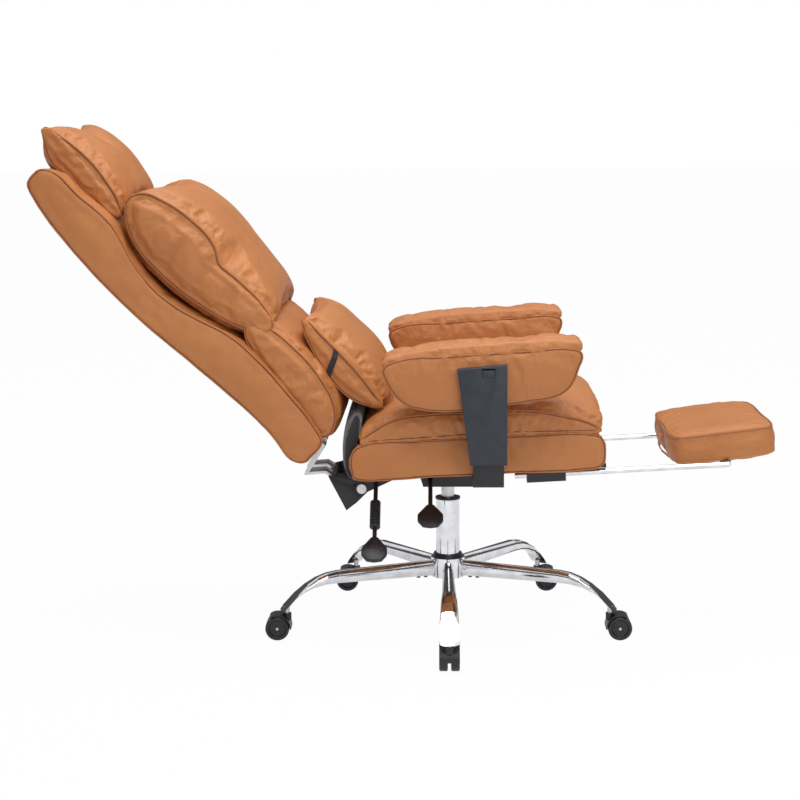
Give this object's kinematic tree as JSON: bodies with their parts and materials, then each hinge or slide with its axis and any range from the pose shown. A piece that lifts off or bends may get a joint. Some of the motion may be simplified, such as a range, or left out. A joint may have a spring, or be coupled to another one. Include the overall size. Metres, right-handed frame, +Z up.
{
  "type": "reclining office chair with footrest",
  "caption": "Padded office chair with a reclining back, loose pillows, lifting arms and a footrest that slides out on two rods, on a star base with twin-wheel casters.",
  "frame": {"origin": "on the floor, on the swivel axis of the gas lift", "axes": "+X to the front, towards the footrest; +Y to the sitter's left; +Z up"},
  "size_m": [1.4866, 0.7167, 1.0637],
  "materials": {
    "chrome": "polished",
    "steel": "satin",
    "bolt_steel": "satin",
    "pin_steel": "satin",
    "black_metal": "satin",
    "black_plastic": "satin",
    "arm_plastic": "satin",
    "caster_plastic": "satin",
    "board": "matte",
    "leather_panel": "satin",
    "leather_cushion": "satin",
    "black_fabric": "matte"
  },
  "bodies": {
    "base": {"base_hub": "chrome", "base_legs": "chrome", "leg_screws": "bolt_steel", "hub_trim_ring": "black_plastic", "gas_outer_tube": "chrome", "gas_guide_bush": "black_plastic"},
    "lift_rod": {"gas_piston_rod": "steel", "thrust_bearing": "steel"},
    "seat": {"gas_inner_cylinder": "steel", "mechanism_housing": "black_metal", "recline_pivot_pin": "steel", "seat_board": "board", "seat_base": "leather_panel", "seat_cushion": "leather_cushion", "seat_rear_panel": "black_fabric", "seat_bolts": "bolt_steel", "footrest_guides": "black_metal", "arm_post_right": "black_metal", "arm_post_left": "black_metal"},
    "valve": {"gas_valve_pin": "steel"},
    "back": {"back_bracket": "black_metal", "back_straps": "steel", "back_bolts": "bolt_steel", "back_board": "board", "back_slab": "leather_panel", "lower_back_cushion": "leather_cushion", "upper_back_pillow": "leather_cushion", "head_pillow": "leather_cushion"},
    "lumbar": {"lumbar_pillow": "leather_cushion"},
    "footrest": {"footrest_frame": "chrome"},
    "foot_pad": {"footrest_pad": "leather_cushion", "footrest_brackets": "black_metal", "footrest_pull_strap": "black_fabric"},
    "arm_right": {"arm_sleeve_right": "arm_plastic", "arm_pad_right": "leather_cushion"},
    "arm_left": {"arm_sleeve_left": "arm_plastic", "arm_pad_left": "leather_cushion"},
    "trigger_right": {"arm_trigger_right": "arm_plastic"},
    "trigger_left": {"arm_trigger_left": "arm_plastic"},
    "height_lever": {"height_lever_rod": "black_metal", "height_lever_paddle": "black_plastic"},
    "recline_lever": {"recline_lever_rod": "black_metal", "recline_lever_sleeve": "black_plastic", "recline_lever_paddle": "black_plastic"},
    "caster_1": {"caster_1_housing": "caster_plastic", "caster_1_pins": "pin_steel"},
    "wheels_1": {"caster_1_wheels": "caster_plastic"},
    "caster_2": {"caster_2_housing": "caster_plastic", "caster_2_pins": "pin_steel"},
    "wheels_2": {"caster_2_wheels": "caster_plastic"},
    "caster_3": {"caster_3_housing": "caster_plastic", "caster_3_pins": "pin_steel"},
    "wheels_3": {"caster_3_wheels": "caster_plastic"},
    "caster_4": {"caster_4_housing": "caster_plastic", "caster_4_pins": "pin_steel"},
    "wheels_4": {"caster_4_wheels": "caster_plastic"},
    "caster_5": {"caster_5_housing": "caster_plastic", "caster_5_pins": "pin_steel"},
    "wheels_5": {"caster_5_wheels": "caster_plastic"}
  },
  "joints": [
    {"name": "seat_swivel", "type": "hinge", "parent": "base", "child": "lift_rod", "pos_m": [0, 0, 0.15], "axis": [0, 0, 1], "continuous": true},
    {"name": "seat_lift", "type": "slide", "parent": "lift_rod", "child": "seat", "axis": [0, 0, 1], "range_m": [0, 0.08]},
    {"name": "valve_press", "type": "slide", "parent": "seat", "child": "valve", "axis": [0, 0, -1], "range_m": [0, 0.004]},
    {"name": "recline", "type": "hinge", "parent": "seat", "child": "back", "pos_m": [-0.18, 0, 0.316], "axis": [0, 1, 0], "range_deg": [0, 35], "deforming": ["lower_back_cushion"]},
    {"name": "lumbar_slide", "type": "slide", "parent": "back", "child": "lumbar", "axis": [-0.5635, 0, 0.8261], "range_m": [0, 0.081]},
    {"name": "footrest_slide", "type": "slide", "parent": "seat", "child": "footrest", "axis": [-0.9986, 0, -0.0523], "range_m": [0, 0.32]},
    {"name": "footrest_flip", "type": "hinge", "parent": "footrest", "child": "foot_pad", "pos_m": [0.56532, 0, 0.3836], "axis": [0, 1, 0], "range_deg": [0, 180]},
    {"name": "arm_lift_right", "type": "slide", "parent": "seat", "child": "arm_right", "axis": [0, 0, 1], "range_m": [0, 0.06]},
    {"name": "arm_lift_left", "type": "slide", "parent": "seat", "child": "arm_left", "axis": [0, 0, 1], "range_m": [0, 0.06]},
    {"name": "arm_trigger_pull_right", "type": "slide", "parent": "arm_right", "child": "trigger_right", "axis": [0, 0, 1], "range_m": [0, 0.003], "stiffness_N_per_m": 300},
    {"name": "arm_trigger_pull_left", "type": "slide", "parent": "arm_left", "child": "trigger_left", "axis": [0, 0, 1], "range_m": [0, 0.003], "stiffness_N_per_m": 300},
    {"name": "height_lever_lift", "type": "hinge", "parent": "seat", "child": "height_lever", "pos_m": [-0.037, -0.052, 0.327], "axis": [-1, 0, 0], "range_deg": [0, 8], "stiffness_Nm_per_rad": 2},
    {"name": "recline_lever_lift", "type": "hinge", "parent": "seat", "child": "recline_lever", "pos_m": [-0.15, -0.093, 0.33], "axis": [-1, 0, 0], "range_deg": [0, 10], "stiffness_Nm_per_rad": 3},
    {"name": "caster_1_swivel", "type": "hinge", "parent": "base", "child": "caster_1", "pos_m": [-0.33763, -0.1097, 0.06], "axis": [0, 0, 1], "continuous": true},
    {"name": "caster_1_roll", "type": "hinge", "parent": "caster_1", "child": "wheels_1", "pos_m": [-0.35763, -0.1097, 0.025], "axis": [0, -1, 0], "continuous": true},
    {"name": "caster_2_swivel", "type": "hinge", "parent": "base", "child": "caster_2", "pos_m": [0, -0.355, 0.06], "axis": [0, 0, 1], "continuous": true},
    {"name": "caster_2_roll", "type": "hinge", "parent": "caster_2", "child": "wheels_2", "pos_m": [0, -0.335, 0.025], "axis": [-1, 0, 0], "continuous": true},
    {"name": "caster_3_swivel", "type": "hinge", "parent": "base", "child": "caster_3", "pos_m": [0.33763, -0.1097, 0.06], "axis": [0, 0, 1], "continuous": true},
    {"name": "caster_3_roll", "type": "hinge", "parent": "caster_3", "child": "wheels_3", "pos_m": [0.35763, -0.1097, 0.025], "axis": [0, 1, 0], "continuous": true},
    {"name": "caster_4_swivel", "type": "hinge", "parent": "base", "child": "caster_4", "pos_m": [0.20866, 0.2872, 0.06], "axis": [0, 0, 1], "continuous": true},
    {"name": "caster_4_roll", "type": "hinge", "parent": "caster_4", "child": "wheels_4", "pos_m": [0.22866, 0.2872, 0.025], "axis": [0, 1, 0], "continuous": true},
    {"name": "caster_5_swivel", "type": "hinge", "parent": "base", "child": "caster_5", "pos_m": [-0.20866, 0.2872, 0.06], "axis": [0, 0, 1], "continuous": true},
    {"name": "caster_5_roll", "type": "hinge", "parent": "caster_5", "child": "wheels_5", "pos_m": [-0.22866, 0.2872, 0.025], "axis": [0, -1, 0], "continuous": true}
  ],
  "couplings": [
    {"joint": "footrest_flip", "follows": "footrest_slide", "rad_per_m": 9.8165},
    {"joint": "lumbar_slide", "follows": "recline", "m_per_rad": 0.131},
    {"joint": "valve_press", "follows": "height_lever_lift", "m_per_rad": 0.028645}
  ]
}
